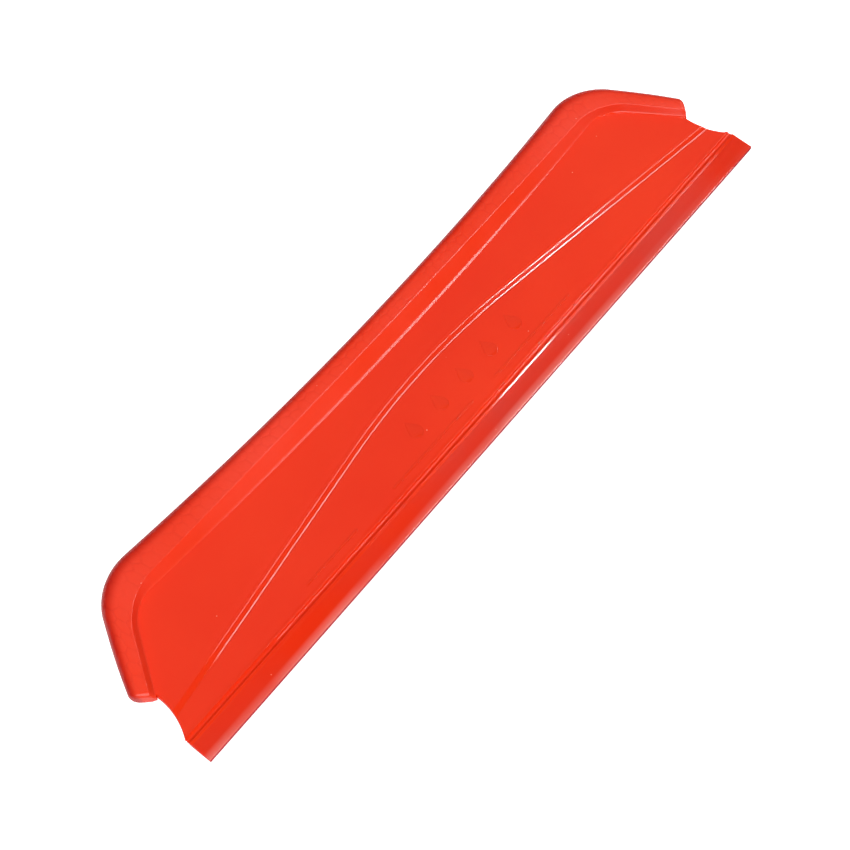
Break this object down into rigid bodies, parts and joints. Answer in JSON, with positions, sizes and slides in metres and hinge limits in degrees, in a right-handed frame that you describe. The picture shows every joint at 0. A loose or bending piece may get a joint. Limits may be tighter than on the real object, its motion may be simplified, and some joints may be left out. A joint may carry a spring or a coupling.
{
  "type": "water blade squeegee",
  "caption": "Soft silicone water blade: thick grip rim on three sides, thin web with an arched step, bending neck and a pair of slim wiping lips.",
  "frame": {"origin": "middle of the object's box on X and Y, on the plane that the back of the grip rim rests on", "axes": "+X along the blade to the right as seen from the marked side, +Y from the wiping edge to the grip rim, +Z out of the marked side of the web"},
  "size_m": [0.3084, 0.07, 0.009],
  "materials": {
    "silicone_grip": "satin with a low scale relief",
    "silicone_gloss": "gloss, slightly translucent",
    "silicone_lip": "gloss, translucent where it is thin"
  },
  "bodies": {
    "handle": {"grip_rim": "silicone_grip", "upper_web": "silicone_gloss", "lower_web": "silicone_gloss", "neck": "silicone_gloss", "moulded_marks": "silicone_gloss"},
    "blade_head": {"blade_root": "silicone_gloss"},
    "front_lip": {"front_lip": "silicone_lip"},
    "rear_lip": {"rear_lip": "silicone_lip"}
  },
  "joints": [
    {"name": "neck_flex", "type": "hinge", "parent": "handle", "child": "blade_head", "pos_m": [0, -0.0252, 0.0045], "axis": [1, 0, 0], "range_deg": [-35, 35], "stiffness_Nm_per_rad": 0.06},
    {"name": "front_lip_flex", "type": "hinge", "parent": "blade_head", "child": "front_lip", "pos_m": [0, -0.0278, 0.00522], "axis": [1, 0, 0], "range_deg": [-30, 1.5], "stiffness_Nm_per_rad": 0.012},
    {"name": "rear_lip_flex", "type": "hinge", "parent": "blade_head", "child": "rear_lip", "pos_m": [0, -0.0278, 0.00378], "axis": [1, 0, 0], "range_deg": [-1.5, 30], "stiffness_Nm_per_rad": 0.012}
  ]
}
